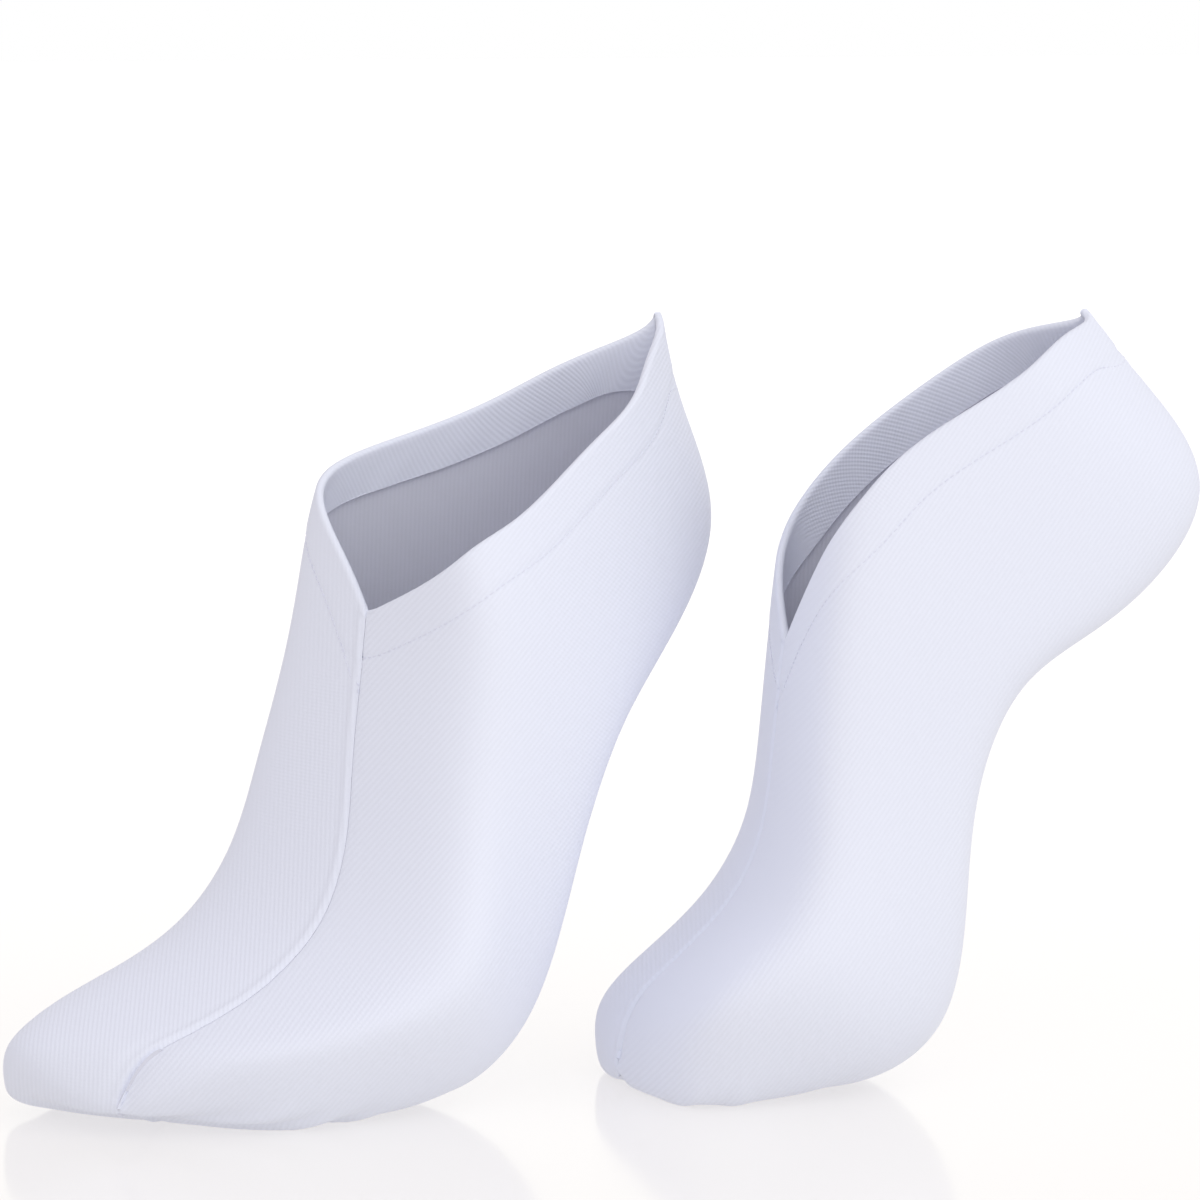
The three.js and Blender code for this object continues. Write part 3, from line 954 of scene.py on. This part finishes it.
class StageSettings(bpy.types.PropertyGroup):
    """Place of the camera and strength of the lights."""

    azimuth: angle_setting("Azimuth", "Direction that the camera looks from", math.radians(63.4))
    elevation: angle_setting("Elevation", "Angle of the camera above level", 0.11)
    distance: length_setting("Distance", "From the camera to the point it looks at", 1.4777)
    lens: strength_setting("Lens", "Focal length in millimetres on a 36 mm frame", 165.08)
    target: place_setting("Target", "The point that the camera looks at", (-0.01414, 0.03052, -0.0403))
    key: strength_setting("Key light", "Power of the key light in watts", 2.0)
    key_side: angle_setting("Key side", "Turn of the key light from the camera", math.radians(58))
    fill: strength_setting("Fill light", "Power of the small light close to the left sock", 0.28)
    fill_target: place_setting("Fill target", "The point that the small light lights", (0.0, -0.06, -0.07))
    sky: strength_setting("Surround", "Strength of the surround on the key side", 0.97)
    sky_dim: strength_setting("Dim side", "Strength of the surround on the far side", 0.61)
    sky_side: angle_setting("Surround side", "Turn of the surround's brighter side", math.radians(60))
    key_tone: colour_setting("Key tone", "Colour of the surround on the key side", (1.0, 1.0, 1.0))
    dim_tone: colour_setting("Dim tone", "Colour of the surround on the far side", (1.0, 0.955, 1.0))
    floor_lift: strength_setting("Floor lift", "Light that the floor adds", 0.445)
    floor_tone: colour_setting("Floor tone", "Colour of the light that the floor adds", (1.0, 0.97, 0.94))


# Operators

class SOCKS_OT_materials(bpy.types.Operator):
    """Make the materials of the cloth and thread"""

    bl_idname = "socks.materials"
    bl_label = "Materials"

    def execute(self, context):
        make_materials()
        return {"FINISHED"}


class SOCKS_OT_panels(bpy.types.Operator):
    """Make the four side panels with their hems"""

    bl_idname = "socks.panels"
    bl_label = "Panels"

    def execute(self, context):
        for name in SOCKS:
            for side in SIDES:
                panel = make_panel(name, side)
        return {"FINISHED"}


class SOCKS_OT_seams(bpy.types.Operator):
    """Make the seam allowances inside the socks and the threads across the seams"""

    bl_idname = "socks.seams"
    bl_label = "Seams"

    def execute(self, context):
        for name in SOCKS:
            for low in (False, True):
                strip = make_seam_allowance(name, low)
            make_seam_stitches(name)
        return {"FINISHED"}


class SOCKS_OT_stitches(bpy.types.Operator):
    """Make the stitched lines of the hems"""

    bl_idname = "socks.stitches"
    bl_label = "Hem stitches"

    def execute(self, context):
        for name in SOCKS:
            make_hem_stitches(name)
        return {"FINISHED"}


class SOCKS_OT_stage(bpy.types.Operator):
    """Make the floor, the lights and the camera"""

    bl_idname = "socks.stage"
    bl_label = "Stage"

    def execute(self, context):
        make_stage(context.scene.sock_stage)
        return {"FINISHED"}


def back_vector(azimuth, elevation):
    """The direction from the target towards a camera or light."""
    level = math.cos(elevation)
    return Vector((math.sin(azimuth) * level, -math.cos(azimuth) * level, math.sin(elevation)))


def aim(thing, place, target):
    """Puts a light or camera at a place, looking at the target."""
    thing.location = place
    thing.rotation_euler = (Vector(target) - Vector(place)).to_track_quat("-Z", "Y").to_euler()


def add_light(name, power, size, azimuth, elevation, distance, target):
    """A square soft light."""
    clear_selection()
    bpy.ops.object.light_add(type="AREA")
    light = bpy.context.object
    light.name = name
    light.data.energy = power
    light.data.size = size
    aim(light, Vector(target) + back_vector(azimuth, elevation) * distance, target)


def surround(tree, stage):
    """A pale surround, brighter on the key side, a little violet on the other, white behind the socks."""
    background = tree.nodes["Background"]
    place = tree.nodes.new("ShaderNodeTexCoord")
    turn = tree.nodes.new("ShaderNodeMapping")
    turn.inputs["Rotation"].default_value = (0, 0, -(stage.azimuth + stage.sky_side))
    tree.links.new(place.outputs["Generated"], turn.inputs["Vector"])
    split = tree.nodes.new("ShaderNodeSeparateXYZ")
    tree.links.new(turn.outputs["Vector"], split.inputs["Vector"])
    span = add_node(tree, "ShaderNodeMapRange")
    ends = (("From Min", 1.0), ("From Max", -1.0), ("To Min", stage.sky_dim), ("To Max", stage.sky))
    for name, value in ends:
        span.inputs[name].default_value = value
    tree.links.new(split.outputs["Y"], span.inputs["Value"])
    path = tree.nodes.new("ShaderNodeLightPath")
    seen = add_node(tree, "ShaderNodeMath", operation="MAXIMUM")
    tree.links.new(path.outputs["Is Camera Ray"], seen.inputs[0])
    tree.links.new(path.outputs["Is Glossy Ray"], seen.inputs[1])
    pick = add_node(tree, "ShaderNodeMix", data_type="FLOAT")
    tree.links.new(seen.outputs["Value"], pick.inputs["Factor"])
    tree.links.new(span.outputs["Result"], pick.inputs["A"])
    pick.inputs["B"].default_value = 1.0
    tone = add_node(tree, "ShaderNodeMix", data_type="RGBA")
    tone.inputs["A"].default_value = (*stage.dim_tone, 1)
    tone.inputs["B"].default_value = (*stage.key_tone, 1)
    share = add_node(tree, "ShaderNodeMapRange")
    for name, value in (("From Min", 1.0), ("From Max", -1.0)):
        share.inputs[name].default_value = value
    tree.links.new(split.outputs["Y"], share.inputs["Value"])
    tree.links.new(share.outputs["Result"], tone.inputs["Factor"])
    white = add_node(tree, "ShaderNodeMix", data_type="RGBA")
    white.inputs["B"].default_value = (1, 1, 1, 1)
    tree.links.new(seen.outputs["Value"], white.inputs["Factor"])
    tree.links.new(tone.outputs["Result"], white.inputs["A"])
    tree.links.new(white.outputs["Result"], background.inputs["Color"])
    tree.links.new(pick.outputs["Result"], background.inputs["Strength"])


def make_stage(stage):
    """A plain pale floor, soft lights and the camera."""
    colours = bpy.context.scene.sock_colours
    clear_selection()
    bpy.ops.mesh.primitive_plane_add(size=40, location=(0, 0, FLOOR * MM))
    floor = bpy.context.object
    floor.name = "floor"
    made, _, shader = new_material("floor", tuple(colours.floor), 0.12)
    shader.inputs["Specular IOR Level"].default_value = 0.35
    shader.inputs["Emission Color"].default_value = (*stage.floor_tone, 1)
    shader.inputs["Emission Strength"].default_value = stage.floor_lift
    floor.data.materials.append(made)
    bpy.ops.object.transform_apply(location=True)
    target = Vector(stage.target)
    add_light("key", power=stage.key, size=0.9, azimuth=stage.azimuth + stage.key_side,
              elevation=math.radians(35), distance=1.3, target=target)
    add_light("fill", power=stage.fill, size=0.4, azimuth=stage.azimuth + math.radians(8),
              elevation=math.radians(28), distance=0.55, target=Vector(stage.fill_target))
    world = bpy.context.scene.world or bpy.data.worlds.new("surround")
    bpy.context.scene.world = world
    world.use_nodes = True
    surround(world.node_tree, stage)
    bpy.context.scene.view_settings.view_transform = "Standard"
    clear_selection()
    bpy.ops.object.camera_add()
    camera = bpy.context.object
    camera.name = "camera"
    camera.data.lens = stage.lens
    camera.data.sensor_width = 36
    camera.data.clip_start = 0.05
    aim(camera, target + back_vector(stage.azimuth, stage.elevation) * stage.distance, target)
    bpy.context.scene.camera = camera


class SOCKS_PT_panel(bpy.types.Panel):
    """Lists the steps"""

    bl_idname = "SOCKS_PT_panel"
    bl_label = "Moisturizing socks"
    bl_space_type = "VIEW_3D"
    bl_region_type = "UI"
    bl_category = "Socks"

    def draw(self, context):
        for step in STEPS:
            self.layout.operator(step.bl_idname)


STEPS = (SOCKS_OT_materials, SOCKS_OT_panels, SOCKS_OT_seams, SOCKS_OT_stitches, SOCKS_OT_stage)
CLASSES = (SockSizes, SockColours, StageSettings, *STEPS, SOCKS_PT_panel)


def register():
    """Registers the classes and their settings."""
    for kind in CLASSES:
        bpy.utils.register_class(kind)
    bpy.types.Scene.sock_sizes = bpy.props.PointerProperty(type=SockSizes)
    bpy.types.Scene.sock_colours = bpy.props.PointerProperty(type=SockColours)
    bpy.types.Scene.sock_stage = bpy.props.PointerProperty(type=StageSettings)


def unregister():
    """Removes the classes and their settings."""
    for name in ("sock_stage", "sock_colours", "sock_sizes"):
        delattr(bpy.types.Scene, name)
    for kind in reversed(CLASSES):
        bpy.utils.unregister_class(kind)


def main():
    """Makes everything in order."""
    register()
    bpy.ops.socks.materials()
    bpy.ops.socks.panels()
    bpy.ops.socks.seams()
    bpy.ops.socks.stitches()
    bpy.ops.socks.stage()


if __name__ == "__main__":
    main()
